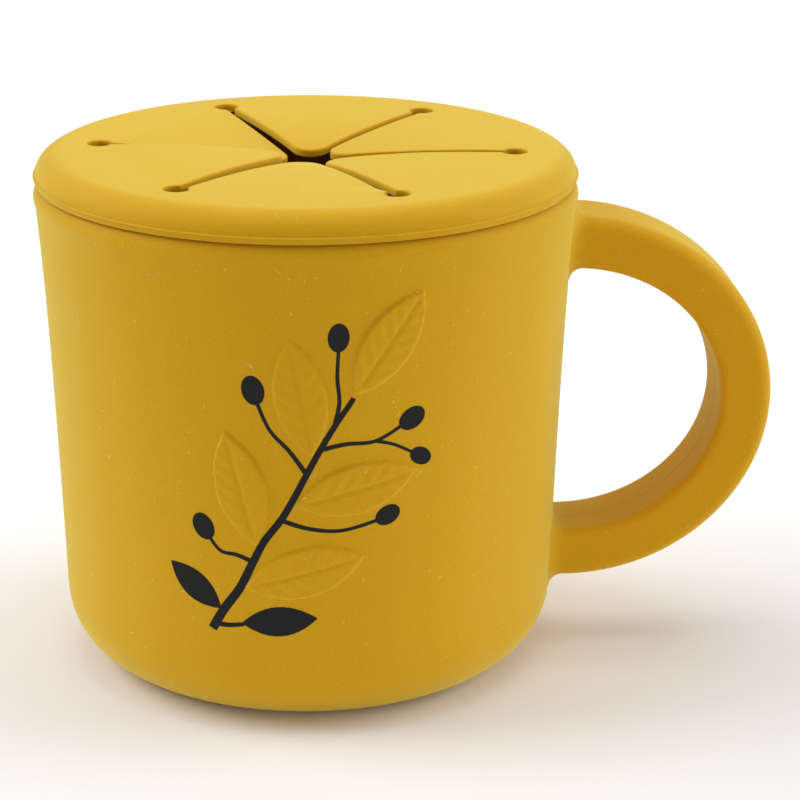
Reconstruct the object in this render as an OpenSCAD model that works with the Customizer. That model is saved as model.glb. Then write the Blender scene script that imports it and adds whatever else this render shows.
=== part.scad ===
// Toddler snack cup: a one-piece silicone mug with a loop handle, and a silicone
// lid whose top is slit into six flaps that a small hand pushes through.
// Millimetres, +Z up, origin at the centre of the base, handle towards +X.

/* [Cup] */
// Height of the cup's wall, from the table to its shoulder
cup_h = 80.8; // [70:0.2:110]
// Outside diameter of the cup at its shoulder
rim_d = 88.4; // [80:0.2:110]
// Outside diameter that the straight wall would have at the table
base_d = 80.8; // [70:0.2:96]
// How far the last stretch of wall flares out at the rim
rim_flare = 1.0; // [0:0.1:2]
// Wall thickness
wall_t = 3.4; // [3.2:0.1:4.5]
// Floor thickness
floor_t = 3.2; // [2:0.1:6]
// Outside radius between the wall and the base
base_fillet = 12; // [6:0.5:18]
// Radius of the shoulder's outer edge
rim_round = 0.9; // [0.4:0.1:1]
// Height of the neck that stands above the shoulder inside the lid
neck_h = 2.4; // [1.6:0.1:2.4]

/* [Handle] */
// Height of the middle of the handle above the table
handle_z = 43.5; // [42:0.1:46]
// Distance of the loop's centre from the cup's axis
handle_x = 43.3; // [40:0.1:44]
// Half the width of the loop, to the middle of the grip
handle_reach = 29.5; // [24:0.1:40]
// Half the height of the loop, to the middle of the grip
handle_rise = 27; // [22:0.1:28]
// Thickness of the grip, seen from the front
grip_t = 8.6; // [6:0.1:10]
// Width of the grip, front to back
grip_w = 14.8; // [10:0.2:22]
// Radius of the grip's long edges on the outside of the loop
grip_round = 2.3; // [0.8:0.1:2.8]
// Radius of the grip's long edges on the inside of the loop
grip_round_in = 1.4; // [0.8:0.1:2.8]
// Radius of the fillets between the handle and the wall
root_fillet = 2.4; // [1:0.1:3]

/* [Lid] */
// How far the lid's side stands back from the cup's shoulder
lid_setback = 0.35; // [0.1:0.05:0.8]
// Height of the lid above the cup's shoulder
lid_h = 4.8; // [4.8:0.1:7]
// Width of the rounded shoulder, seen from above
shoulder_w = 4.3; // [2:0.1:6]
// Thickness of the flat top and its flaps
top_t = 1.3; // [1.2:0.1:2.6]
// Height of the mould's parting line above the shoulder
parting_h = 1.2; // [0.8:0.1:2]
// How far the parting line stands proud
parting_proud = 0.15; // [0.05:0.05:0.3]
// Thickness of the skirt that covers the neck
skirt_t = 1.3; // [1:0.1:1.4]
// Clearance round the neck inside the lid's groove
groove_gap = 0.3; // [0.2:0.05:0.4]
// Depth of the plug ring that pushes into the cup
plug_h = 7; // [4:0.5:10]
// Thickness of the plug ring
plug_t = 2.8; // [2:0.1:3.4]
// Clearance between the plug ring and the cup's wall
plug_gap = 0.45; // [0.3:0.05:0.8]
// How far each sealing rib stands out of the plug ring
seal_proud = 0.3; // [0.1:0.05:0.3]

/* [Flaps] */
// Radius of the circle that the slits end on
slit_r = 33.8; // [26:0.1:34]
// Width of each slit
slit_w = 1.2; // [0.8:0.1:1.6]
// Diameter of the round hole that ends each slit
slit_end_d = 4.0; // [2.8:0.1:5]
// Radius of each flap's tip
tip_round = 3.3; // [1.5:0.1:4]
// Clearance behind each flap's rounded root
hinge_gap = 0.3; // [0.2:0.05:0.6]
// How far the lowest flap hangs below level, in degrees
flap_droop = 6; // [0:0.5:6]
// Angle of the first slit round the lid, in degrees
lid_turn = -8.3; // [-30:0.1:30]

/* [Leaf relief] */
// How far the moulded leaves stand out of the wall
leaf_proud = 0.6; // [0.3:0.1:1.2]
// Length of a leaf
leaf_l = 19; // [12:0.5:22]
// Width of a leaf
leaf_w = 8; // [5:0.5:10]

/* [Hidden] */
$fn = 96;
silicone = [0.86, 0.62, 0.13];
n_flaps = 6;
flap_span = 360 / n_flaps;
overlap = 1;
arc_steps = 10;
edge_steps = 4;

// Wall: radius outside and inside at a height z
function wall_r(z) =
  base_d / 2 + (rim_d / 2 - base_d / 2 - rim_flare) * z / cup_h + rim_flare * pow(z / cup_h, 5);
function bore_r(z) = wall_r(z) - wall_t;
inner_fillet = base_fillet - wall_t;
wall_steps = [0.3, 0.5, 0.64, 0.76, 0.86, 0.94];

// Points of an arc from angle a0 to a1 about [x, y]
function arc(x, y, rx, ry, a0, a1, n = arc_steps) =
  [for (i = [0:n]) let (a = a0 + (a1 - a0) * i / n) [x + rx * cos(a), y + ry * sin(a)]];

foot_r = wall_r(base_fillet) - base_fillet;

// Lid, and the neck that its groove fits over
lid_r = rim_d / 2 - lid_setback;
skirt_r = lid_r - skirt_t;
neck_r = skirt_r - groove_gap;
neck_top = cup_h + neck_h;
neck_round = 0.5;
lid_top = cup_h + lid_h;
top_under = lid_top - top_t;
shoulder_h = lid_h - parting_h;
lid_edge_round = 0.4;
plug_bottom = cup_h - plug_h;
plug_r_top = bore_r(cup_h) - plug_gap;
plug_r_low = bore_r(plug_bottom) - plug_gap;
plug_inner_r = plug_r_low - plug_t;
plug_tip_round = 1.0;
under_round = 2.0;
seal_h = 1.2;
seal_at = [0.3, 0.7];

// Flaps: hinge axis, slit ends and tip
flap_sag = [0.52, 0.6, 1, 0.35, 0.48, 0.62];
hinge_r = slit_r * cos(flap_span / 2);
hinge_z = lid_top - top_t / 2;
tip_x = (slit_w / 2 + tip_round) / sin(flap_span / 2);
root_half = (hinge_r - slit_w / 2 / sin(flap_span / 2)) * tan(flap_span / 2);

// Handle: angles round the loop, closer together where the fillets are
corner_steps = 4;
loop_step = 5;
root_angles = [4, 1.5, 0.6, 0, -0.5, -1, -1.7, -2.6, -3.6, -4.8];
root_top = root_angle(handle_z + handle_rise);
root_low = root_angle(handle_z - handle_rise);
loop_from = 6 - root_low;
loop_to = root_top - 6;
loop_count = ceil((loop_to - loop_from) / loop_step);
loop_angles = concat(
  [for (a = root_angles) -root_low - a],
  [for (i = [0:loop_count]) loop_from + (loop_to - loop_from) * i / loop_count],
  [for (i = [len(root_angles) - 1:-1:0]) root_top + root_angles[i]]
);
// The fillets stop at this share of their radius, where they run into the wall
fillet_stop = 0.2;

// Leaves that stand in relief: [distance round the wall from the front, height, lean in degrees]
leaves = [[-2.4, 28, 74], [-12.2, 41.7, -14], [5.7, 41.7, 76], [-2.9, 56.8, -10], [10.7, 65.1, 34]];

module mug_profile() {
  outside = concat(
    arc(foot_r, base_fillet, base_fillet, base_fillet, -90, 0),
    [for (t = wall_steps) [wall_r(t * cup_h), t * cup_h]],
    arc(wall_r(cup_h) - rim_round, cup_h - rim_round, rim_round, rim_round, 0, 90, edge_steps),
    [[neck_r, cup_h]],
    arc(neck_r - neck_round, neck_top - neck_round, neck_round, neck_round, 0, 90, edge_steps)
  );
  inside = concat(
    arc(bore_r(cup_h) + neck_round, neck_top - neck_round, neck_round, neck_round, 90, 180, edge_steps),
    [for (i = [len(wall_steps) - 1:-1:0]) let (z = wall_steps[i] * cup_h) [bore_r(z), z]],
    arc(
      bore_r(base_fillet) - inner_fillet, floor_t + inner_fillet,
      inner_fillet, inner_fillet, 0, -90
    )
  );
  polygon(concat([[0, floor_t], [0, 0]], outside, inside));
}

// A pointed oval, its length along +Y
module leaf_outline() {
  r = (leaf_l * leaf_l + leaf_w * leaf_w) / (4 * leaf_w);
  intersection() {
    translate([r - leaf_w / 2, 0]) circle(r);
    translate([leaf_w / 2 - r, 0]) circle(r);
  }
}

// A skin round the wall that gives the leaves their height
module relief_skin() {
  low = 0.2;
  high = 0.92;
  steps = concat([low], [for (t = wall_steps) if (t > low && t < high) t], [high]);
  rotate_extrude() polygon(concat(
    [for (t = steps) [wall_r(t * cup_h) + leaf_proud, t * cup_h]],
    [for (i = [len(steps) - 1:-1:0]) [wall_r(steps[i] * cup_h) - overlap, steps[i] * cup_h]]
  ));
}

module leaf_relief() {
  intersection() {
    relief_skin();
    for (leaf = leaves)
      rotate([0, 0, leaf[0] / wall_r(leaf[1]) * 180 / PI])
        translate([0, 0, leaf[1]]) rotate([90, leaf[2], 0])
          linear_extrude(height = rim_d) leaf_outline();
  }
}

module cup_body() {
  color(silicone) union() {
    rotate_extrude() mug_profile();
    leaf_relief();
  }
}

// Angle at which the loop's middle reaches the wall, on the arm at height z
function root_angle(z) = acos((wall_r(z) - handle_x) / handle_reach);

// How far a fillet has grown at a distance d from the wall
function fillet(d) =
  let (c = min(1 - fillet_stop, max(0, 1 - d / root_fillet))) root_fillet * (1 - sqrt(1 - c * c));

// One section of the loop at angle a, widened by the fillet where the wall is near
function grip_ring(a) =
  let (
    x = handle_x + handle_reach * cos(a), z = handle_z + handle_rise * sin(a),
    nx = cos(a) / handle_reach, nz = sin(a) / handle_rise, n = norm([nx, nz]),
    u = nx / n, v = nz / n
  )
  [for (q = [0:3], i = [0:corner_steps]) let (
      t = 90 * (q + i / corner_steps),
      outer = q == 0 || q == 3,
      r = outer ? grip_round : grip_round_in,
      p = (outer ? 1 : -1) * (grip_t / 2 - r) + r * cos(t),
      y = (q < 2 ? 1 : -1) * (grip_w / 2 - r) + r * sin(t),
      g = fillet(x + u * p - sqrt(pow(wall_r(z + v * p), 2) - y * y))
    ) [x + u * (p + g * cos(t)), y + g * sin(t), z + v * (p + g * cos(t))]];

// A closed solid through a row of sections
module loft(rings) {
  n = len(rings[0]);
  last = len(rings) - 1;
  polyhedron(
    [for (ring = rings, point = ring) point],
    concat(
      [[for (k = [0:n - 1]) k]],
      [for (r = [0:last - 1], k = [0:n - 1]) let (m = (k + 1) % n)
        [r * n + k, (r + 1) * n + k, (r + 1) * n + m, r * n + m]],
      [[for (k = [n - 1:-1:0]) last * n + k]]
    )
  );
}

// Everything inside the wall's outer face, which the handle stops at
module wall_core() {
  steps = concat([0], [base_fillet / cup_h], wall_steps, [1.1]);
  rotate_extrude() polygon(concat(
    [[0, 0]], [for (t = steps) [wall_r(t * cup_h), t * cup_h]], [[0, 1.1 * cup_h]]
  ));
}

module cup_handle() {
  color(silicone) difference() {
    loft([for (a = loop_angles) grip_ring(a)]);
    wall_core();
  }
}

module lid_profile() {
  edge = arc(lid_r - lid_edge_round, cup_h + lid_edge_round, lid_edge_round, lid_edge_round, -90, 0, 4);
  bead = arc(lid_r, cup_h + parting_h, parting_proud, parting_proud * 1.5, -90, 90, edge_steps);
  shoulder = arc(lid_r - shoulder_w, cup_h + parting_h, shoulder_w, shoulder_h, 4, 90);
  under = arc(plug_inner_r - under_round, top_under - under_round, under_round, under_round, 90, 0, edge_steps);
  plug_tip = concat(
    arc(plug_inner_r + plug_tip_round, plug_bottom + plug_tip_round, plug_tip_round, plug_tip_round, 180, 270, 4),
    arc(plug_r_low - plug_tip_round, plug_bottom + plug_tip_round, plug_tip_round, plug_tip_round, -90, 0, 4)
  );
  groove_top = neck_top + groove_gap;
  groove = [[plug_r_top, cup_h], [plug_r_top, groove_top], [skirt_r, groove_top], [skirt_r, cup_h]];
  polygon(concat([[0, lid_top], [0, top_under]], under, plug_tip, groove, edge, bead, shoulder));
  for (t = seal_at)
    let (z = plug_bottom + t * plug_h)
      translate([bore_r(z) - plug_gap, z]) seal_rib();
}

// A half-round rib on the plug ring
module seal_rib() {
  half = seal_h / 2;
  polygon(concat([[-overlap, -half]], arc(0, 0, seal_proud, half, -90, 90, 6), [[-overlap, half]]));
}

module slit_ends(d) {
  for (i = [0:n_flaps - 1])
    rotate([0, 0, lid_turn + i * flap_span]) translate([slit_r, 0, top_under - overlap])
      cylinder(d = d, h = top_t + 2 * overlap);
}

module lid_rim() {
  opening_r = (hinge_r + top_t / 2 + hinge_gap) / cos(flap_span / 2);
  color(silicone) difference() {
    rotate_extrude() lid_profile();
    rotate([0, 0, lid_turn]) translate([0, 0, top_under - overlap])
      cylinder(r = opening_r, h = top_t + 2 * overlap, $fn = n_flaps);
    slit_ends(slit_end_d);
  }
}

// A flap seen from above, pointing from its hinge at hinge_r towards the lid's centre
module flap_outline() {
  half = flap_span / 2;
  tip = arc(tip_x, 0, tip_round, tip_round, 90 + half, 270 - half);
  back = hinge_r + top_t;
  polygon(concat(tip, [[hinge_r, -root_half], [back, -root_half], [back, root_half], [hinge_r, root_half]]));
}

// A flap seen along its hinge line: flat, with a rounded root
module flap_section() {
  translate([0, -top_t / 2]) square([hinge_r, top_t]);
  translate([hinge_r, 0]) circle(d = top_t);
}

module lid_flap(i) {
  color(silicone) rotate([0, 0, lid_turn + (i + 0.5) * flap_span])
    translate([hinge_r, 0, hinge_z]) rotate([0, -flap_droop * flap_sag[i], 0]) translate([-hinge_r, 0, 0])
      difference() {
        intersection() {
          translate([0, 0, -top_t]) linear_extrude(height = 2 * top_t) flap_outline();
          translate([0, root_half + overlap, 0]) rotate([90, 0, 0])
            linear_extrude(height = 2 * (root_half + overlap)) flap_section();
        }
        for (side = [-1, 1]) rotate([0, 0, side * flap_span / 2]) translate([slit_r, 0, -top_t])
          cylinder(d = slit_end_d, h = 2 * top_t);
      }
}

cup_body();
cup_handle();
lid_rim();
for (i = [0:n_flaps - 1])
  lid_flap(i);
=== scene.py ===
import bpy
import bmesh
import math
from mathutils import Matrix, Vector


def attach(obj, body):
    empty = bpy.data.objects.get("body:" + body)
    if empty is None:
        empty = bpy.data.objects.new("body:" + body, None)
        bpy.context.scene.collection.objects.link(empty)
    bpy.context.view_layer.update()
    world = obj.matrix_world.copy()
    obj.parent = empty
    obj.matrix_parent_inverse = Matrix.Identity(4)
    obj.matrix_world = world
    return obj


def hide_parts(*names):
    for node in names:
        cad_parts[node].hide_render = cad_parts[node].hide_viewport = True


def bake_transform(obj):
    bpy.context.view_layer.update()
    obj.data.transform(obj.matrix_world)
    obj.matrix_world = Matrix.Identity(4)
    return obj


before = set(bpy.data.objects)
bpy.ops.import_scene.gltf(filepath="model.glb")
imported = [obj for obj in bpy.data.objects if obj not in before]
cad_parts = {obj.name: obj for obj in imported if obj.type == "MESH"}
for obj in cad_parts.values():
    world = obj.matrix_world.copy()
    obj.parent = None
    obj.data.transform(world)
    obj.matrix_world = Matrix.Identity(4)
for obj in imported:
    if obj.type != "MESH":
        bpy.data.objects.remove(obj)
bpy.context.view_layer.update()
mm = 0.001  # every size below is in millimetres, unless its note says otherwise


def clamp(x, low=0.0, high=1.0):
    return max(low, min(high, x))


def smooth(x):
    x = clamp(x)
    return x * x * (3 - 2 * x)


def arcPoints(x, y, rx, ry, start, end, steps):
    angles = [math.radians(start + (end - start) * i / steps) for i in range(steps + 1)]
    return [(x + rx * math.cos(a), y + ry * math.sin(a)) for a in angles]


# merges doubles, turns the faces outwards and shades smooth but for sharp edges
def tidyMesh(obj, sharpAngle=50):
    bm = bmesh.new()
    bm.from_mesh(obj.data)
    bmesh.ops.remove_doubles(bm, verts=bm.verts, dist=1e-7)
    bmesh.ops.dissolve_degenerate(bm, dist=1e-8, edges=bm.edges)
    bmesh.ops.recalc_face_normals(bm, faces=bm.faces)
    for face in bm.faces:
        face.smooth = True
    for edge in bm.edges:
        if len(edge.link_faces) == 2 and edge.calc_face_angle(0) > math.radians(sharpAngle):
            edge.smooth = False
    bm.to_mesh(obj.data)
    bm.free()


def addPiece(name, verts, edges, faces):
    mesh = bpy.data.meshes.new(name)
    mesh.from_pydata(verts, edges, faces)
    obj = bpy.data.objects.new(name, mesh)
    bpy.context.scene.collection.objects.link(obj)
    return obj


# a closed skin from rows of points, wrapped round the columns and, if asked, from the last row to the first
def skin(name, rows, wrapRows=False, caps=True):
    count = len(rows[0])
    verts = [Vector(p) * mm for row in rows for p in row]
    faces = []
    for r in range(len(rows) if wrapRows else len(rows) - 1):
        here, after = r * count, (r + 1) % len(rows) * count
        for k in range(count):
            side = (k + 1) % count
            faces.append((here + k, here + side, after + side, after + k))
    if caps and not wrapRows:
        faces.append(tuple(range(count - 1, -1, -1)))
        faces.append(tuple((len(rows) - 1) * count + k for k in range(count)))
    obj = addPiece(name, verts, [], faces)
    tidyMesh(obj)
    return obj


# the camera comes first, because everything is judged through it
shot = {
    "distance": 450.34, "tilt": 18.784, "roll": -0.436, "yaw": 1.957, "pitch": 0.269,  # angles in degrees
    "focal": 2687.471, "pixels": 800, "sensor": 36, "aimHeight": 40.0, "around": -2.3,
}


def makeCamera():
    tilt, yaw, pitch, roll = (math.radians(shot[k]) for k in ("tilt", "yaw", "pitch", "roll"))
    forward = Vector((0, math.cos(tilt), -math.sin(tilt)))
    right = Vector((1, 0, 0))
    up = right.cross(forward)
    ahead = forward * math.cos(yaw) + right * math.sin(yaw)
    side = right * math.cos(yaw) - forward * math.sin(yaw)
    look = ahead * math.cos(pitch) + up * math.sin(pitch)
    top = up * math.cos(pitch) - ahead * math.sin(pitch)
    xAxis = side * math.cos(roll) + top * math.sin(roll)
    yAxis = top * math.cos(roll) - side * math.sin(roll)
    data = bpy.data.cameras.new("productCamera")
    data.sensor_width = shot["sensor"]
    data.lens = shot["focal"] / shot["pixels"] * shot["sensor"]
    data.clip_start, data.clip_end = 0.01, 20
    cam = bpy.data.objects.new("productCamera", data)
    bpy.context.scene.collection.objects.link(cam)
    place = (Vector((0, 0, shot["aimHeight"])) - forward * shot["distance"]) * mm
    cam.matrix_world = Matrix.Rotation(math.radians(shot["around"]), 4, "Z") @ Matrix((
        (xAxis.x, yAxis.x, -look.x, place.x),
        (xAxis.y, yAxis.y, -look.y, place.y),
        (xAxis.z, yAxis.z, -look.z, place.z),
        (0, 0, 0, 1)))
    bpy.context.scene.camera = cam


makeCamera()
print("camera placed")

# the cup: its wall turned from one outline, with leaves raised on the front
cup = {
    "height": 80.8, "rimRadius": 44.2, "baseRadius": 40.4, "flare": 1.0, "wall": 3.4, "floor": 3.2,
    "baseFillet": 12.0, "rimRound": 1.75, "rimDrop": 2.2, "neckRadius": 42.25, "neckHeight": 2.4,
    "neckRound": 0.5, "neckFoot": 0.15,
    # points of the mesh: rings on the base and floor, rows up the wall and columns round its plain part
    "baseRings": (0, 9, 18), "floorRings": (14, 0), "rowStep": 1.2, "innerRows": 16, "columns": 84,
}
sprig = {
    # each leaf: across and up to its middle, and its lean in degrees
    "leaves": [(-2.4, 28, 74), (-12.2, 41.7, -14), (5.7, 41.7, 76), (-2.9, 56.8, -10), (10.7, 65.1, 34)],
    "length": 19.0, "width": 8.0, "proud": 0.6, "softEdge": 0.3,
    "vein": 0.26, "veinWidth": 0.38, "veinTaper": 3.0,
    "sideVeins": 0.07, "sideVeinTurn": 2.3, "sideVeinSlant": 0.9, "edgeFade": 1.2, "middleFade": 0.8,
    # rows in millimetres and columns in degrees are finer where the leaves are
    "low": 20, "high": 76, "rowStep": 0.3, "left": -33, "columnStep": 0.3, "columns": 204,
}


def wallRadius(z):
    t = z / cup["height"]
    straight = cup["rimRadius"] - cup["baseRadius"] - cup["flare"]
    return cup["baseRadius"] + straight * t + cup["flare"] * t ** 5


def boreRadius(z):
    return wallRadius(z) - cup["wall"]


# how far the leaves stand out of the wall; a leaf is where two arcs overlap
def leafRise(angle, z):
    length, width = sprig["length"], sprig["width"]
    arc = (length ** 2 + width ** 2) / (4 * width)
    rise = 0.0
    for across, up, lean in sprig["leaves"]:
        dx = wallRadius(z) * math.sin(angle - across / wallRadius(up))
        dz = z - up
        if dx * dx + dz * dz > length ** 2:
            continue
        a = math.radians(lean)
        along = dx * math.sin(a) + dz * math.cos(a)
        aside = abs(dx * math.cos(a) - dz * math.sin(a))
        inside = arc - math.hypot(aside + arc - width / 2, along)
        if inside <= 0:
            continue
        body = math.sqrt(smooth(inside / sprig["softEdge"]))
        ends = smooth((length / 2 - abs(along)) / sprig["veinTaper"])
        vein = sprig["vein"] * math.exp(-(aside / sprig["veinWidth"]) ** 2) * ends
        ribs = sprig["sideVeins"] * math.cos((along - aside * sprig["sideVeinSlant"]) * sprig["sideVeinTurn"])
        ribs *= smooth(inside / sprig["edgeFade"]) * smooth(aside / sprig["middleFade"])
        rise = max(rise, sprig["proud"] * body - vein - ribs)
    return rise


# from the middle of the base out, up the outside, over the neck, down the bore and in to the middle
def cupProfile():
    h, fillet, drop, foot = cup["height"], cup["baseFillet"], cup["rimDrop"], cup["neckFoot"]
    rimRound, neckRound, neckR = cup["rimRound"], cup["neckRound"], cup["neckRadius"]
    neckTop = h + cup["neckHeight"]
    bore = boreRadius(h)
    inner = fillet - cup["wall"]
    points = [(r, 0) for r in cup["baseRings"]]
    points += arcPoints(wallRadius(fillet) - fillet, fillet, fillet, fillet, -90, 0, 20)
    z = fillet + cup["rowStep"]
    while z < h - drop - 0.2:
        points.append((wallRadius(z), z))
        z += sprig["rowStep"] if sprig["low"] < z < sprig["high"] else cup["rowStep"]
    points += arcPoints(wallRadius(h) - rimRound, h - drop, rimRound, drop, 0, 90, 12)
    points += [(neckR + foot, h), (neckR, h + foot)]
    points += arcPoints(neckR - neckRound, neckTop - neckRound, neckRound, neckRound, 0, 90, 5)
    points += arcPoints(bore + neckRound, neckTop - neckRound, neckRound, neckRound, 90, 180, 5)
    points.append((bore, h - 0.5))
    for i in range(1, cup["innerRows"]):
        z = h - (h - fillet) * i / cup["innerRows"]
        points.append((boreRadius(z), z))
    points += arcPoints(boreRadius(fillet) - inner, cup["floor"] + inner, inner, inner, 0, -90, 14)
    return points + [(r, cup["floor"]) for r in cup["floorRings"]]


def makeCup():
    fine = [sprig["left"] + sprig["columnStep"] * i for i in range(sprig["columns"])]
    step = (360 + fine[0] - fine[-1]) / cup["columns"]
    degrees = fine + [fine[-1] + step * i for i in range(1, cup["columns"])]
    rows = []
    outside = True
    for r, z in cupProfile():
        outside = outside and z < cup["height"] - cup["rimDrop"]
        leafy = outside and sprig["low"] < z < sprig["high"]
        row = []
        for d in degrees:
            a = math.radians(d)
            wall = r + (leafRise(a, z) if leafy and d <= fine[-1] else 0.0)
            row.append((wall * math.sin(a), -wall * math.cos(a), z))
        rows.append(row)
    return skin("cupWall", rows, caps=False)


cupWall = makeCup()
print("cup wall made:", len(cupWall.data.polygons), "faces")

# the loop handle: one soft section swept round an ellipse and flared where it meets the wall
handle = {
    "x": 43.3, "z": 43.5, "reach": 29.5, "rise": 27.0, "thickness": 8.6, "width": 14.8,
    "outerEdge": 2.3, "innerEdge": 1.4, "fillet": 2.2, "cornerSteps": 8,
    "seam": [(-1.4, 0), (-0.5, 0), (-0.15, 0.05), (0.15, 0.05), (0.5, 0), (1.4, 0)],  # across and proud
    "outerSeam": 0.3,  # the seam outside stands this share as proud
    # where sections stand, in degrees from the ellipse's crossing with the wall, into it and out of it
    "rootSteps": [3.9, 2.6, 1.6, 1.0, 0.6, 0.35, 0.15, 0, -0.12, -0.3, -0.55, -0.9, -1.4, -2.0, -2.7, -3.5,
                  -4.4, -5.4],
    "loopStart": 7.0, "loopSteps": 84,
}


def wallGap(p):
    return math.hypot(p[0], p[1]) - wallRadius(p[2])


def filletGrowth(gap):
    c = clamp(1 - gap / handle["fillet"])
    return handle["fillet"] * (1 - math.sqrt(max(0.0, 1 - c * c)))


# the section's points, each with the way it grows in the fillet
def handleSection():
    halfT, halfW = handle["thickness"] / 2, handle["width"] / 2
    steps = handle["cornerSteps"]
    out = []
    for sideX, sideY, start in ((1, 1, 0), (-1, 1, 90), (-1, -1, 180), (1, -1, 270)):
        edge = handle["outerEdge"] if sideX > 0 else handle["innerEdge"]
        w, h = halfT - edge, halfW - edge
        for i in range(steps + 1):
            a = math.radians(start + 90 * i / steps)
            x, y = sideX * w + edge * math.cos(a), sideY * h + edge * math.sin(a)
            out.append((x, y, math.cos(a), math.sin(a)))
        seam = [(-h * 0.7, 0)] + handle["seam"] + [(h * 0.7, 0)]
        if start == 0:
            out += [(w * k, halfW, 0, 1) for k in (0.4, -0.4)]
        elif start == 90:
            out += [(-halfT - proud, -y, -1, 0) for y, proud in seam]
        elif start == 180:
            out += [(w * k, -halfW, 0, -1) for k in (-0.4, 0.4)]
        else:
            out += [(halfT + proud * handle["outerSeam"], y, 1, 0) for y, proud in seam]
    return out


# a point of the section where it stands on the loop, pushed out by the fillet
def grownPoint(centre, n, spot, growth):
    out, across, growOut, growAcross = spot
    out += growOut * growth
    return centre[0] + n.x * out, across + growAcross * growth, centre[1] + n.y * out


# the angle round the ellipse at which it crosses the wall, for a crossing near height z
def rootAngle(z):
    return math.degrees(math.acos((wallRadius(z) - handle["x"]) / handle["reach"]))


def makeHandle():
    section = handleSection()
    top, low = rootAngle(handle["z"] + handle["rise"]), rootAngle(handle["z"] - handle["rise"])
    first, last = handle["loopStart"] - low, top - handle["loopStart"]
    count = handle["loopSteps"]
    angles = [-low - s for s in handle["rootSteps"]]
    angles += [first + (last - first) * i / count for i in range(count + 1)]
    angles += [top + s for s in reversed(handle["rootSteps"])]
    rows = []
    for deg in angles:
        a = math.radians(deg)
        centre = (handle["x"] + handle["reach"] * math.cos(a), handle["z"] + handle["rise"] * math.sin(a))
        n = Vector((math.cos(a) / handle["reach"], math.sin(a) / handle["rise"])).normalized()
        row = []
        for spot in section:
            growth = filletGrowth(wallGap(grownPoint(centre, n, spot, 0)))
            for i in range(12):  # the growth changes the gap that it comes from, so it is settled in steps
                growth = 0.5 * growth + 0.5 * filletGrowth(wallGap(grownPoint(centre, n, spot, growth)))
            row.append(grownPoint(centre, n, spot, growth))
        rows.append(row)
    return skin("loopHandle", rows)


loopHandle = makeHandle()
print("handle made:", len(loopHandle.data.polygons), "faces")

# the lid: a rim with a six-sided opening, and six flaps that carry its surface on to the middle
lid = {
    "radius": 43.85, "height": 4.8, "shoulder": 4.3, "topThickness": 1.3, "lipRound": 0.3, "shadowGap": 0.15,
    "partingHeight": 1.2, "partingProud": 0.3, "grooveGap": 0.3, "grooveCorner": 0.2,
    "plugDepth": 7.0, "plugThickness": 2.8, "plugGap": 0.45, "plugRound": 1.0, "underRound": 2.0,
    "ribs": (0.7, 0.3), "ribProud": 0.3, "ribHalfHeight": 0.6,  # the ribs stand at these shares of the plug
}
flaps = {
    "count": 6, "slitRadius": 33.8, "slitWidth": 1.35, "endHole": 2.0, "tipRound": 3.22, "turn": -8.3,
    "edge": 0.32, "underEdge": 0.7,  # the edges are rounded, and below by this share of it
    "throat": 0.35,  # blends the hole into the slit
    # how each hangs: the tip's droop in degrees, how late it comes, the middle raised, one side lowered
    "droop": [3.12, 3.6, 6.0, 1.3, 3.2, 3.72], "droopCurve": [2.1, 2.5, 1.25, 2.5, 2.5, 2.5],
    "arch": [0.0, 0.0, 0.0, 0.3, 0.0, 0.0], "twist": [0.0, 0.0, 0.0, 0.0, 0.5, 0.0],
    "twistReach": 5.0, "bendReach": 6.0,
    # where rows and columns stand in from an edge, closer together where it is rounded
    "columns": [0, 0.03, 0.09, 0.18, 0.3, 0.45, 0.7, 1.1, 1.8, 2.8, 4.2, 6.0, 8.2, 10.6, 13.0],
    "rootRows": [0, 0.12, 0.3, 0.5, 0.7, 0.9, 1.1, 1.35, 1.7, 2.2, 3, 4, 5.2, 6.5, 8, 10, 12, 14, 16, 18,
                 19.5, 20.6],
    "tipRows": [3.2, 2.8, 2.4, 2.0, 1.6, 1.25, 0.95, 0.7, 0.5, 0.34, 0.22, 0.13, 0.06, 0.02, 0.0],
    "rimRows": [0.0, 0.03, 0.08, 0.15, 0.25, 0.36, 0.45, 0.7],
    "sideBand": 1.0, "narrow": 3.0, "holeSteps": 22,
}
halfTurn = 180 / flaps["count"]  # half of a flap's share of the circle, in degrees
halfSpan = math.radians(halfTurn)
hingeR = flaps["slitRadius"] * math.cos(halfSpan)
cornerY = flaps["slitRadius"] * math.sin(halfSpan)
chordHalf = cornerY - flaps["endHole"]
lidTop = cup["height"] + lid["height"]
halfThick = lid["topThickness"] / 2
flatR = lid["radius"] - lid["shoulder"]
# distances in from the hinge: the middle of the tip's arc, where that arc starts, and the tip
tipCentre = hingeR - (flaps["slitWidth"] / 2 + flaps["tipRound"]) / math.sin(halfSpan)
tipStart = tipCentre + flaps["tipRound"] * math.sin(halfSpan)
tipEnd = tipCentre + flaps["tipRound"]


def pointAt(radius, degrees):
    return radius * math.cos(math.radians(degrees)), radius * math.sin(math.radians(degrees))


# height lost at a rounded edge, this far in from it
def edgeDrop(inset):
    radius = flaps["edge"]
    if inset >= radius:
        return 0.0
    return radius - math.sqrt(max(0.0, radius ** 2 - (radius - max(0.0, inset)) ** 2))


# stations along the hinge's chord, from one hole to the next
def chordStations():
    left = [-chordHalf + e for e in flaps["columns"]]
    return left + [0.0] + [-y for y in reversed(left)]


def nearestHole(x, y):
    places = [pointAt(flaps["slitRadius"], flaps["turn"] + 2 * halfTurn * i) for i in range(flaps["count"])]
    return min(places, key=lambda q: (x - q[0]) ** 2 + (y - q[1]) ** 2)


def holeDistance(x, y):
    c = nearestHole(x, y)
    return math.hypot(x - c[0], y - c[1]) - flaps["endHole"]


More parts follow.
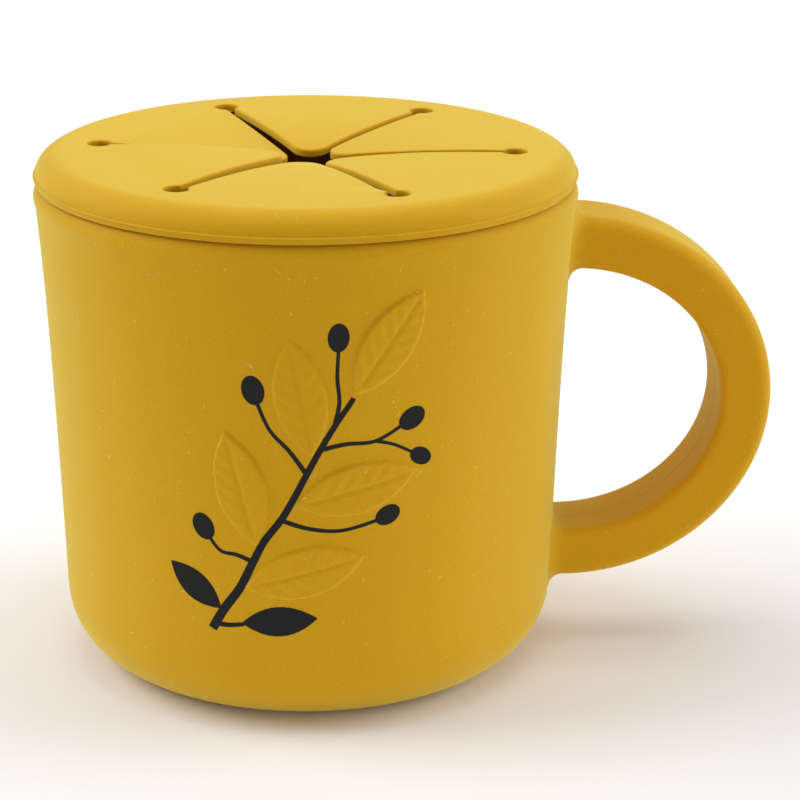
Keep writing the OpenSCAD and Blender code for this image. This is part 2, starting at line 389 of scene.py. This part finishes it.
# how far each row goes out from a point, so that rows follow the rounded edge of the nearest hole
def rowReach(x, y, outX, outY):
    c = nearestHole(x, y)
    rel = Vector((x - c[0], y - c[1]))
    along = rel.x * outX + rel.y * outY
    square = along ** 2 - rel.length_squared
    return [max(0.6 * step, math.sqrt(max(0.0, square + (flaps["endHole"] + step) ** 2)) - along)
            for step in flaps["rimRows"]]


# the opening's edge, anticlockwise, as (x, y, outward x, outward y, angle on the outer circles, rows' reach)
def openingEdge():
    edge = []
    crossing = math.degrees(math.atan2(chordHalf, hingeR))
    spread = halfTurn - crossing
    for i in range(flaps["count"]):
        mid = flaps["turn"] + (2 * i + 1) * halfTurn
        outX, outY = pointAt(1, mid)
        for y in chordStations():
            edge.append((hingeR * outX - y * outY, hingeR * outY + y * outX, outX, outY,
                         mid + math.degrees(math.atan2(y, hingeR))))
        corner = mid + halfTurn
        centreX, centreY = pointAt(flaps["slitRadius"], corner)
        for k in range(1, flaps["holeSteps"]):
            t = 2 * k / flaps["holeSteps"] - 1
            x, y = pointAt(flaps["endHole"], corner + (90 + halfTurn) * t)
            edge.append((centreX + x, centreY + y, *pointAt(1, corner + halfTurn * t), corner + spread * t))
    return [(*p, rowReach(*p[:4])) for p in edge]


# from the flat top outwards, down the side, round the groove and the plug ring, and back under the top
def lidSideProfile():
    h, r, gap = cup["height"], lid["radius"], lid["plugGap"]
    ledge, low = h + lid["partingHeight"], h + lid["shadowGap"]
    proud, lip, corner = lid["partingProud"], lid["lipRound"], lid["grooveCorner"]
    plugLow = h - lid["plugDepth"]
    plugTop, plugOut = boreRadius(h) - gap, boreRadius(plugLow) - gap
    plugIn = plugOut - lid["plugThickness"]
    grooveTop = h + cup["neckHeight"] + lid["grooveGap"]
    skirtIn = cup["neckRadius"] + lid["grooveGap"]
    plugRound, underRound = lid["plugRound"], lid["underRound"]
    points = arcPoints(flatR, ledge, lid["shoulder"], lidTop - ledge, 90, 5, 26)
    bead = [(-0.01, 0.2), (0.02, 0.15), (proud - 0.04, 0.06), (proud, 0.01), (proud - 0.02, -0.07),
            (0.03, -0.15), (0, -0.2)]  # the parting line, out and up from the side at the ledge
    points += [(r + x, ledge + z) for x, z in bead]
    points += arcPoints(r - lip, low + lip, lip, lip, 0, -90, 6)
    points += [(skirtIn + corner / 2, low), (skirtIn, low + corner / 2), (skirtIn, grooveTop - corner),
               (skirtIn - corner, grooveTop), (plugTop + corner, grooveTop), (plugTop, grooveTop - corner),
               (plugTop, h)]
    for share in lid["ribs"]:
        z = plugLow + share * lid["plugDepth"]
        points += arcPoints(boreRadius(z) - gap, z, lid["ribProud"], lid["ribHalfHeight"], 90, -90, 6)
    points += arcPoints(plugOut - plugRound, plugLow + plugRound, plugRound, plugRound, 0, -90, 5)
    points += arcPoints(plugIn + plugRound, plugLow + plugRound, plugRound, plugRound, -90, -180, 5)
    under = lidTop - lid["topThickness"]
    points += arcPoints(plugIn - underRound, under - underRound, underRound, underRound, 0, 90, 7)
    return points


def makeLidRim():
    edge = openingEdge()

    # one row of the flat top or of its underside, a share of the way from the opening out to a circle
    def level(step, share, top, outer):
        row = []
        for x, y, outX, outY, angle, reach in edge:
            farX, farY = pointAt(outer, angle)
            px, py = x + outX * reach[step], y + outY * reach[step]
            px, py = px + (farX - px) * share, py + (farY - py) * share
            drop = edgeDrop(holeDistance(px, py))
            z = lidTop - drop if top else lidTop - lid["topThickness"] + drop * flaps["underEdge"]
            row.append((px, py, z))
        return row

    inner = boreRadius(cup["height"] - lid["plugDepth"])
    inner -= lid["plugGap"] + lid["plugThickness"] + lid["underRound"]
    last = len(flaps["rimRows"]) - 1
    rows = [level(k, 0, True, flatR) for k in range(last + 1)]
    rows += [level(last, share, True, flatR) for share in (0.15, 0.35, 0.55, 0.75, 0.9)]
    rows += [[(*pointAt(r, p[4]), z) for p in edge] for r, z in lidSideProfile()]
    rows += [level(last, share, False, inner) for share in (0.66, 0.33)]
    rows += [level(k, 0, False, inner) for k in range(last, -1, -1)]
    return skin("lidRim", rows, wrapRows=True)


lidRim = makeLidRim()
print("lid rim made:", len(lidRim.data.polygons), "faces")


# half the flap's width, a distance d in from its hinge
def flapHalfWidth(d):
    if d > tipStart:
        return math.sqrt(max(0.0, flaps["tipRound"] ** 2 - (d - tipCentre) ** 2))
    slit = cornerY - d * math.tan(halfSpan) - flaps["slitWidth"] / 2 / math.cos(halfSpan)
    if d >= flaps["endHole"]:
        return slit
    past = cornerY - math.sqrt(flaps["endHole"] ** 2 - d ** 2)
    mix = clamp(0.5 + 0.5 * (past - slit) / flaps["throat"])
    return past * (1 - mix) + slit * mix - flaps["throat"] * mix * (1 - mix)


# how far a point of the flap is in from its nearest edge
def flapEdgeDistance(d, y):
    if d > tipStart:
        return flaps["tipRound"] - math.hypot(d - tipCentre, y)
    slit = (cornerY - d * math.tan(halfSpan) - abs(y)) * math.cos(halfSpan) - flaps["slitWidth"] / 2
    return min(slit, math.hypot(d, cornerY - abs(y)) - flaps["endHole"])


# a column's place across the flap: the band at each side keeps its width until the flap gets narrow
def columnAcross(station, half):
    band, inset = flaps["sideBand"], chordHalf - abs(station)
    if half <= flaps["narrow"]:
        y = abs(station) / chordHalf * half
    elif inset < band:
        y = half - inset
    else:
        y = (half - band) * (1 - (inset - band) / (chordHalf - band))
    return math.copysign(y, station)


# one flap, pointing from its hinge to the middle, before it is turned to its place
def flapMesh(droop, droopCurve, arch, twist):
    depths = [d for d in flaps["rootRows"] if d < tipEnd - flaps["tipRows"][0]]
    depths += [tipEnd - e for e in flaps["tipRows"]]
    fall = math.tan(math.radians(droop)) * tipEnd
    tops, lows = [], []
    for d in depths:
        half, share = flapHalfWidth(d), d / tipEnd
        hang = arch * math.sin(math.pi * share) - fall * share ** droopCurve
        for station in chordStations():
            y = columnAcross(station, half)
            drop = edgeDrop(flapEdgeDistance(d, y))
            z = lidTop - halfThick + hang
            z -= twist * (max(y, 0.0) / chordHalf) ** 1.5 * smooth(d / flaps["twistReach"])
            tops.append(Vector((hingeR - d, y, z + halfThick - drop)) * mm)
            lows.append(Vector((hingeR - d, y, z - halfThick + drop * flaps["underEdge"])) * mm)
    count, depthCount, low = len(chordStations()), len(depths), len(tops)
    faces = []
    for r in range(depthCount - 1):
        for k in range(count - 1):
            a = r * count + k
            faces.append((a, a + 1, a + count + 1, a + count))
            faces.append((low + a, low + a + count, low + a + count + 1, low + a + 1))
    ring = list(range(count)) + [r * count + count - 1 for r in range(1, depthCount)]
    ring += [(depthCount - 1) * count + k for k in range(count - 2, -1, -1)]
    ring += [r * count for r in range(depthCount - 2, 0, -1)]
    for a, b in zip(ring, ring[1:] + ring[:1]):
        faces.append((a, low + a, low + b, b))
    obj = addPiece("flapBlank", tops + lows, [], faces)
    tidyMesh(obj)
    return obj


# node trees are built here: geometry, shader and world trees take the same few helpers
def treeNode(tree, kind, inputs=None, **settings):
    node = tree.nodes.new(kind)
    for key, value in settings.items():
        setattr(node, key, value)
    for key, value in (inputs or {}).items():
        if hasattr(value, "node"):
            tree.links.new(value, node.inputs[key])
        else:
            node.inputs[key].default_value = value
    return node


def treeMath(tree, operation, *values):
    return treeNode(tree, "ShaderNodeMath", dict(enumerate(values)), operation=operation).outputs[0]


def vectorMath(tree, operation, *values):
    return treeNode(tree, "ShaderNodeVectorMath", dict(enumerate(values)), operation=operation).outputs[0]


def vectorScale(tree, vector, scale):
    return treeNode(tree, "ShaderNodeVectorMath", {0: vector, "Scale": scale}, operation="SCALE").outputs[0]


def newTree(name, inputs):
    tree = bpy.data.node_groups.new(name, "GeometryNodeTree")
    tree.interface.new_socket("Geometry", in_out="INPUT", socket_type="NodeSocketGeometry")
    for label, kind, value in inputs:
        sock = tree.interface.new_socket(label, in_out="INPUT", socket_type=kind)
        sock.default_value = value
    tree.interface.new_socket("Geometry", in_out="OUTPUT", socket_type="NodeSocketGeometry")
    return tree, tree.nodes.new("NodeGroupInput"), tree.nodes.new("NodeGroupOutput")


# every geometry tree ends in plain geometry with its material
def endTree(tree, geometry, end, material):
    real = treeNode(tree, "GeometryNodeRealizeInstances", {"Geometry": geometry})
    paint = treeNode(tree, "GeometryNodeSetMaterial", {"Geometry": real.outputs[0], "Material": material})
    tree.links.new(paint.outputs[0], end.inputs["Geometry"])


def bakeTree(obj, tree, values, name, material):
    mod = obj.modifiers.new("shape", "NODES")
    mod.node_group = tree
    for item in tree.interface.items_tree:
        if item.in_out == "INPUT" and item.name in values:
            mod[item.identifier] = values[item.name]
    depsgraph = bpy.context.evaluated_depsgraph_get()
    mesh = bpy.data.meshes.new_from_object(obj.evaluated_get(depsgraph))
    mesh.name = name
    obj.modifiers.remove(mod)
    bpy.data.objects.remove(obj)
    piece = bpy.data.objects.new(name, mesh)
    bpy.context.scene.collection.objects.link(piece)
    if not mesh.materials:
        mesh.materials.append(material)
    tidyMesh(piece)
    return piece


# matt silicone with dust on it, and the black ink; lengths here are in metres, and scales are per metre
finish = {
    "silicone": (0.661, 0.356, 0.0050), "siliconeDeep": (0.630, 0.331, 0.0042), "cloudScale": 38.0,
    # loop: painted warm bounce light and glow on the handle, not a colour of its own
    "loop": (0.690, 0.312, 0.0030), "loopBounceShare": 0.5, "loopBounceFrom": 0.0435, "loopBounceFull": 0.052,
    "grainScale": 3200.0, "grain": 0.1, "grainDepth": 0.00006, "grainTint": 0.045,
    "waveScale": 130.0, "wave": 0.25, "waveDepth": 0.0002, "lintHeight": 0.3, "lintDepth": 0.00008,
    "lint": (0.86, 0.74, 0.40), "lintShare": 0.6, "fibreShare": 0.4,
    "speck": (0.30, 0.16, 0.02), "speckShare": 0.5,
    "wobbleScale": 600.0, "wobble": 0.0014,
    "shading": {
        "Roughness": 0.62, "IOR": 1.41, "Specular IOR Level": 0.13,
        "Subsurface Weight": 0.1, "Subsurface Radius": (0.003, 0.0012, 0.0003), "Subsurface Scale": 0.5,
        "Sheen Weight": 0.52, "Sheen Roughness": 0.5, "Sheen Tint": (0.90, 0.95, 0.26, 1),
    },
    # marks: cells in a metre, how far they are drawn out, the mark's radius and the share of cells with one
    "dust": {"scale": 520.0, "stretch": 1.0, "radius": 0.09, "kept": 0.3},
    "specks": {"scale": 430.0, "stretch": 1.0, "radius": 0.07, "kept": 0.18},
    "fibres": {"scale": 640.0, "stretch": 0.09, "radius": 0.075, "kept": 0.4},
    "ink": {"Base Color": (0.0045, 0.0045, 0.0045, 1), "Roughness": 0.55, "Specular IOR Level": 0.2},
}


# cells of a Voronoi pattern, of which a few carry a dot or, where space is stretched, a fibre
def scatter(tree, coords, mark, turn):
    turned = treeNode(tree, "ShaderNodeVectorRotate", {"Vector": coords, "Rotation": turn},
                      rotation_type="EULER_XYZ").outputs[0]
    wobble = treeNode(tree, "ShaderNodeTexNoise", {
        "Vector": coords, "Scale": finish["wobbleScale"], "Detail": 1.0}).outputs["Color"]
    bent = vectorMath(tree, "ADD", turned, vectorScale(tree, wobble, finish["wobble"]))
    stretched = vectorMath(tree, "MULTIPLY", bent, (1.0, 1.0, mark["stretch"]))
    cells = treeNode(tree, "ShaderNodeTexVoronoi", {"Vector": stretched, "Scale": mark["scale"]})
    chance = treeNode(tree, "ShaderNodeSeparateColor", {"Color": cells.outputs["Color"]}).outputs["Red"]
    dot = treeNode(tree, "ShaderNodeMapRange", {
        "Value": cells.outputs["Distance"], "From Min": mark["radius"], "From Max": mark["radius"] * 0.4,
        "To Min": 0.0, "To Max": 1.0}, interpolation_type="SMOOTHSTEP").outputs[0]
    return treeMath(tree, "MULTIPLY", treeMath(tree, "LESS_THAN", chance, mark["kept"]), dot)


def mixColours(tree, share, first, second):
    mix = treeNode(tree, "ShaderNodeMix", data_type="RGBA")
    for key, value in ((0, share), (6, first), (7, second)):  # sockets 6 and 7 are the colours
        if hasattr(value, "node"):
            tree.links.new(value, mix.inputs[key])
        else:
            mix.inputs[key].default_value = (*value, 1)
    return mix.outputs[2]


def tint(tree, base, share, strength, colour):
    return mixColours(tree, treeMath(tree, "MULTIPLY", share, strength), base, colour)


def bump(tree, height, strength, depth, normal=None):
    inputs = {"Height": height, "Strength": strength, "Distance": depth}
    if normal:
        inputs["Normal"] = normal
    return treeNode(tree, "ShaderNodeBump", inputs).outputs[0]


def newMaterial(name, values):
    mat = bpy.data.materials.new(name)
    mat.use_nodes = True
    shader = mat.node_tree.nodes["Principled BSDF"]
    for label, value in values.items():
        shader.inputs[label].default_value = value
    return mat, mat.node_tree, shader


def siliconeMaterial(name, seed, fibreTurns):
    mat, tree, shader = newMaterial(name, finish["shading"])
    coords = treeNode(tree, "ShaderNodeTexCoord").outputs["Object"]
    shift = vectorMath(tree, "ADD", coords, (seed * 0.37, seed * 0.11, seed * 0.53))

    def noise(scale, detail, **more):
        return treeNode(tree, "ShaderNodeTexNoise", {
            "Vector": shift, "Scale": scale, "Detail": detail, **more}).outputs["Fac"]

    cloud = noise(finish["cloudScale"], 4.0, Roughness=0.6)
    dust = scatter(tree, shift, finish["dust"], (0.0, 0.0, 0.0))
    specks = scatter(tree, shift, finish["specks"], (0.3, 0.0, 0.0))
    fibres = [scatter(tree, shift, finish["fibres"], turn) for turn in fibreTurns]
    colour = mixColours(tree, cloud, finish["silicone"], finish["siliconeDeep"])
    colour = tint(tree, colour, dust, finish["lintShare"], finish["lint"])
    for fibre in fibres:
        colour = tint(tree, colour, fibre, finish["fibreShare"], finish["lint"])
    colour = tint(tree, colour, specks, finish["speckShare"], finish["speck"])
    # painted warm bounce light and glow through the silicone: the loop, outside the wall, is tinted a deeper
    # orange, though it is the same silicone as the wall
    across = treeNode(tree, "ShaderNodeSeparateXYZ", {"Vector": coords}).outputs["X"]
    outside = treeNode(tree, "ShaderNodeMapRange", {
        "Value": across, "From Min": finish["loopBounceFrom"], "From Max": finish["loopBounceFull"]},
        interpolation_type="SMOOTHSTEP").outputs[0]
    colour = tint(tree, colour, outside, finish["loopBounceShare"], finish["loop"])
    grain = noise(finish["grainScale"], 2.0)
    shade = treeNode(tree, "ShaderNodeMapRange", {
        "Value": grain, "From Min": 0.3, "From Max": 0.7, "To Min": 1 - finish["grainTint"],
        "To Max": 1 + finish["grainTint"]}).outputs[0]
    tree.links.new(vectorScale(tree, colour, shade), shader.inputs["Base Color"])
    raised = treeMath(tree, "MAXIMUM", dust, fibres[0])
    normal = bump(tree, grain, finish["grain"], finish["grainDepth"])
    normal = bump(tree, noise(finish["waveScale"], 2.0), finish["wave"], finish["waveDepth"], normal)
    normal = bump(tree, raised, finish["lintHeight"], finish["lintDepth"], normal)
    tree.links.new(normal, shader.inputs["Normal"])
    return mat


cupSilicone = siliconeMaterial("cupSilicone", 0, ((0.1, 0.9, 0.0), (0.0, -0.5, 0.2), (-0.7, 0.1, 0.0)))
lidSilicone = siliconeMaterial("lidSilicone", 3, ((1.5, 0.0, 0.6), (1.5, 0.1, -0.9)))
printInk = newMaterial("printInk", finish["ink"])[0]
print("materials made")


# turns a flat flap to its place round the lid
def flapTree():
    tree, start, end = newTree("placeFlap", [("Turn", "NodeSocketFloat", 0.0)])
    spin = treeNode(tree, "ShaderNodeCombineXYZ", {"Z": start.outputs["Turn"]})
    move = treeNode(tree, "GeometryNodeTransform", {
        "Geometry": start.outputs["Geometry"], "Rotation": spin.outputs[0]})
    endTree(tree, move.outputs[0], end, lidSilicone)
    return tree


placeFlap = flapTree()
for i in range(flaps["count"]):
    flat = flapMesh(flaps["droop"][i], flaps["droopCurve"][i], flaps["arch"][i], flaps["twist"][i])
    turn = math.radians(flaps["turn"] + (2 * i + 1) * halfTurn)
    piece = bakeTree(flat, placeFlap, {"Turn": turn}, "flap_%d_soft" % (i + 1), lidSilicone)
    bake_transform(piece)
    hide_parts("lid_flap_%d" % (i + 1))
print("flaps made:", flaps["count"])

cupWall.data.materials.append(cupSilicone)
loopHandle.data.materials.append(cupSilicone)
lidRim.data.materials.append(lidSilicone)
for piece, body, node, slotName in ((cupWall, "cup", "cup_body", "cup_silicone"),
                                    (loopHandle, "cup", "cup_handle", "cup_silicone"),
                                    (lidRim, "lid", "lid_rim", "lid_silicone")):
    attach(piece, body)
    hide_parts(node)

# the black print: stem, stalks, berries and two small leaves, drawn flat and wrapped on to the wall
inkDrawing = {
    # points across, up and the line's width there
    "lines": [
        [(-17.2, 17.6, 1.5), (-15.2, 21.2, 1.5), (-12.6, 25.0, 1.4), (-10.4, 29.6, 1.3), (-8.6, 33.2, 1.2),
         (-6.0, 36.8, 1.15), (-4.0, 40.4, 1.1), (-2.0, 44.4, 1.05), (0.1, 48.4, 1.0), (2.3, 52.2, 0.95),
         (4.5, 55.5, 0.9), (5.2, 56.6, 0.85)],
        [(-10.4, 29.6, 0.8), (-13.0, 30.6, 0.7), (-15.6, 31.0, 0.6), (-17.5, 33.2, 0.6)],
        [(-6.0, 36.8, 0.8), (-1.5, 35.4, 0.7), (3.4, 35.0, 0.6), (9.0, 36.3, 0.6)],
        [(-2.0, 44.4, 0.8), (-4.6, 48.2, 0.7), (-7.6, 51.6, 0.6), (-9.6, 56.2, 0.6)],
        [(0.1, 48.4, 0.8), (4.0, 49.2, 0.7), (8.6, 49.4, 0.6), (13.0, 51.6, 0.6)],
        [(8.6, 49.4, 0.6), (11.4, 48.6, 0.55), (14.6, 46.9, 0.5)],
        [(2.3, 52.2, 0.8), (3.0, 56.0, 0.65), (2.7, 60.0, 0.6), (2.9, 64.6, 0.55)],
        [(-16.6, 18.6, 0.9), (-14.6, 18.5, 0.8), (-12.0, 18.9, 0.7)],
    ],
    # across, up, length, width, lean in degrees, 1 for a berry or 2 for a leaf
    "spots": [
        (-18.4, 34.8, 4.6, 3.4, -28, 1), (10.6, 37.0, 4.2, 3.1, 62, 1), (-10.1, 57.9, 4.8, 3.5, -15, 1),
        (14.5, 52.5, 4.6, 3.4, 58, 1), (16.0, 46.1, 3.8, 2.8, 118, 1), (2.9, 66.4, 4.6, 3.3, 3, 1),
        (-20.0, 24.6, 11.0, 4.6, -52, 2), (-6.4, 19.7, 12.0, 5.0, 84, 2),
    ],
    "sunk": 0.05, "lineSides": 16, "spotSides": 40,
    "inputs": {"Proud": 0.05, "Flatness": 0.35, "Step": 0.5},  # of the tree, by name
}


# the drawing as loose lines and points, with what the tree needs to know of each
def inkBlank():
    verts, edges, facts = [], [], []
    for line in inkDrawing["lines"]:
        edges += [(len(verts) + i, len(verts) + i + 1) for i in range(len(line) - 1)]
        verts += [(across, up, 0) for across, up, wide in line]
        facts += [(wide, 0, 0, 0, 0) for across, up, wide in line]
    for across, up, length, width, lean, kind in inkDrawing["spots"]:
        verts.append((across, up, 0))
        facts.append((0, kind, length, width, -math.radians(lean)))
    obj = addPiece("inkBlank", verts, edges, [])
    for name, values in zip(("wide", "kind", "long", "across", "lean"), zip(*facts)):
        data = obj.data.attributes.new(name, "FLOAT", "POINT").data
        data.foreach_set("value", [float(v) for v in values])
    return obj


def field(tree, name):
    node = treeNode(tree, "GeometryNodeInputNamedAttribute", {"Name": name}, data_type="FLOAT")
    return node.outputs[0]


# the part of the drawing of one kind: 0 for lines, 1 for berries and 2 for leaves
def pickKind(tree, geometry, kind):
    inside = treeMath(tree, "MULTIPLY", treeMath(tree, "GREATER_THAN", field(tree, "kind"), kind - 0.5),
                      treeMath(tree, "LESS_THAN", field(tree, "kind"), kind + 0.5))
    return treeNode(tree, "GeometryNodeSeparateGeometry", {
        "Geometry": geometry, "Selection": inside}).outputs[0]


# stem and stalks: smooth lines given a round section
def inkLines(tree, source, step):
    lines = treeNode(tree, "GeometryNodeMeshToCurve", {"Mesh": pickKind(tree, source, 0)})
    lines = treeNode(tree, "GeometryNodeCurveSplineType", {"Curve": lines.outputs[0]},
                     spline_type="CATMULL_ROM")
    fine = treeNode(tree, "GeometryNodeResampleCurve", {"Curve": lines.outputs[0], "Length": step},
                    mode="LENGTH")
    ring = treeNode(tree, "GeometryNodeCurvePrimitiveCircle", {
        "Resolution": inkDrawing["lineSides"], "Radius": 0.5})
    return treeNode(tree, "GeometryNodeCurveToMesh", {
        "Curve": fine.outputs[0], "Profile Curve": ring.outputs[0], "Scale": field(tree, "wide"),
        "Fill Caps": True}).outputs[0]


# berries and leaves: thin discs, the leaf's drawn in to two points
def inkSpots(tree, source, kind):
    shape = treeNode(tree, "GeometryNodeMeshCylinder", {
        "Vertices": inkDrawing["spotSides"], "Side Segments": 1, "Fill Segments": 7, "Radius": 0.5,
        "Depth": 1.0}, fill_type="TRIANGLE_FAN").outputs["Mesh"]
    if kind == 2:
        place = treeNode(tree, "GeometryNodeInputPosition").outputs[0]
        axes = treeNode(tree, "ShaderNodeSeparateXYZ", {"Vector": place}).outputs
        left = treeMath(tree, "SUBTRACT", 0.2501, treeMath(tree, "MULTIPLY", axes["Y"], axes["Y"]))
        reach = treeMath(tree, "SQRT", treeMath(tree, "MAXIMUM", left, 0.0))
        thin = treeMath(tree, "MULTIPLY", axes["X"], treeMath(tree, "MULTIPLY", reach, 2.0))
        pointed = treeNode(tree, "ShaderNodeCombineXYZ", {"X": thin, "Y": axes["Y"], "Z": axes["Z"]})
        shape = treeNode(tree, "GeometryNodeSetPosition", {
            "Geometry": shape, "Position": pointed.outputs[0]}).outputs[0]
    points = treeNode(tree, "GeometryNodeMeshToPoints", {"Mesh": pickKind(tree, source, kind)})
    size = treeNode(tree, "ShaderNodeCombineXYZ", {
        "X": field(tree, "across"), "Y": field(tree, "long"), "Z": 1.0})
    turn = treeNode(tree, "ShaderNodeCombineXYZ", {"Z": field(tree, "lean")})
    spun = treeNode(tree, "FunctionNodeEulerToRotation", {"Euler": turn.outputs[0]})
    placed = treeNode(tree, "GeometryNodeInstanceOnPoints", {
        "Points": points.outputs[0], "Instance": shape, "Rotation": spun.outputs[0],
        "Scale": size.outputs[0]})
    return treeNode(tree, "GeometryNodeRealizeInstances", {"Geometry": placed.outputs[0]}).outputs[0]


def inkTree():
    tree, start, end = newTree("wrapPrint", [
        (label, "NodeSocketFloat", value) for label, value in inkDrawing["inputs"].items()])
    source = start.outputs["Geometry"]
    flat = tree.nodes.new("GeometryNodeJoinGeometry")
    tree.links.new(inkLines(tree, source, start.outputs["Step"]), flat.inputs[0])
    for kind in (1, 2):
        tree.links.new(inkSpots(tree, source, kind), flat.inputs[0])
    # x runs round the wall, y up it and z out of it
    place = treeNode(tree, "GeometryNodeInputPosition").outputs[0]
    axes = treeNode(tree, "ShaderNodeSeparateXYZ", {"Vector": place}).outputs
    share = treeMath(tree, "DIVIDE", axes["Y"], cup["height"])
    straight = cup["rimRadius"] - cup["baseRadius"] - cup["flare"]
    flare = treeMath(tree, "MULTIPLY", treeMath(tree, "POWER", share, 5.0), cup["flare"])
    wall = treeMath(tree, "ADD", treeMath(tree, "MULTIPLY_ADD", share, straight, cup["baseRadius"]), flare)
    thick = treeMath(tree, "MULTIPLY", axes["Z"], start.outputs["Flatness"])
    raised = treeMath(tree, "MAXIMUM", thick, -inkDrawing["sunk"])
    lift = treeMath(tree, "MINIMUM", raised, start.outputs["Proud"])
    radius = treeMath(tree, "ADD", wall, lift)
    angle = treeMath(tree, "DIVIDE", axes["X"], wall)
    across = treeMath(tree, "MULTIPLY", radius, treeMath(tree, "SINE", angle))
    depth = treeMath(tree, "MULTIPLY", radius, treeMath(tree, "COSINE", angle))
    out = treeNode(tree, "ShaderNodeCombineXYZ", {
        "X": treeMath(tree, "MULTIPLY", across, mm), "Y": treeMath(tree, "MULTIPLY", depth, -mm),
        "Z": treeMath(tree, "MULTIPLY", axes["Y"], mm)})
    wrapped = treeNode(tree, "GeometryNodeSetPosition", {
        "Geometry": flat.outputs[0], "Position": out.outputs[0]})
    endTree(tree, wrapped.outputs[0], end, printInk)
    return tree


sprigPrint = bakeTree(inkBlank(), inkTree(), inkDrawing["inputs"], "sprig_print", printInk)
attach(sprigPrint, "cup")
print("print made:", len(sprigPrint.data.polygons), "faces")

# floor, background and light, all in metres
stageLook = {
    "floor": (0.94, 0.94, 0.94, 1), "size": 0.6, "corners": 96, "fade": (0.09, 0.5), "white": (1, 1, 1, 1),
}
lights = {
    "world": 0.33, "aim": (0, 0, 0.05),
    "top": {"place": (0.1, 0.15, 1.1), "size": 1.0, "power": 4.2},
    "left": {"place": (-1.0, 0.2, 0.8), "size": 1.0, "power": 9.6},
    "right": {"place": (1.15, 0.05, 0.5), "size": 1.0, "power": 7.5},
    "front": {"place": (0.2, -1.3, 0.3), "size": 0.8, "power": 2.5},
}


# a pale disc that fades away around the cup
def makeStage():
    corners = stageLook["corners"]
    verts = [(*pointAt(stageLook["size"], 360 * i / corners), 0) for i in range(corners)]
    floor = addPiece("paleFloor", verts, [], [tuple(range(corners))])
    mat, tree, shader = newMaterial("floorPaint", {
        "Base Color": stageLook["floor"], "Roughness": 0.8, "Specular IOR Level": 0.0})
    coords = treeNode(tree, "ShaderNodeTexCoord").outputs["Object"]
    away = treeNode(tree, "ShaderNodeVectorMath", {0: coords}, operation="LENGTH").outputs["Value"]
    start, end = stageLook["fade"]
    fade = treeNode(tree, "ShaderNodeMapRange", {"Value": away, "From Min": start, "From Max": end},
                    interpolation_type="SMOOTHSTEP").outputs[0]
    clear = treeNode(tree, "ShaderNodeBsdfTransparent").outputs[0]
    mix = treeNode(tree, "ShaderNodeMixShader", {0: fade, 1: shader.outputs[0], 2: clear}).outputs[0]
    tree.links.new(mix, tree.nodes["Material Output"].inputs["Surface"])
    floor.data.materials.append(mat)


# white where the camera sees it, straight or mirrored, and dimmer as a light
def makeWorld():
    world = bpy.data.worlds.new("softStudio")
    bpy.context.scene.world = world
    world.use_nodes = True
    tree = world.node_tree
    tree.nodes.clear()
    glow = treeNode(tree, "ShaderNodeBackground", {"Color": stageLook["white"], "Strength": lights["world"]})
    seen = treeNode(tree, "ShaderNodeBackground", {"Color": stageLook["white"], "Strength": 1.0})
    ray = treeNode(tree, "ShaderNodeLightPath").outputs
    direct = treeMath(tree, "MAXIMUM", ray["Is Camera Ray"], ray["Is Glossy Ray"])
    white = treeMath(tree, "MAXIMUM", direct, ray["Is Transmission Ray"])
    mix = treeNode(tree, "ShaderNodeMixShader", {0: white, 1: glow.outputs[0], 2: seen.outputs[0]})
    treeNode(tree, "ShaderNodeOutputWorld", {"Surface": mix.outputs[0]})


def makeLamps():
    for name in ("top", "left", "right", "front"):
        spec = lights[name]
        data = bpy.data.lights.new(name + "Lamp", "AREA")
        data.shape = "DISK"
        data.size = spec["size"]
        data.energy = spec["power"]
        lamp = bpy.data.objects.new(name + "Lamp", data)
        lamp.location = spec["place"]
        lamp.rotation_euler = (Vector(lights["aim"]) - lamp.location).to_track_quat("-Z", "Y").to_euler()
        bpy.context.scene.collection.objects.link(lamp)


makeStage()
makeWorld()
makeLamps()
bpy.context.scene.view_settings.view_transform = "Standard"
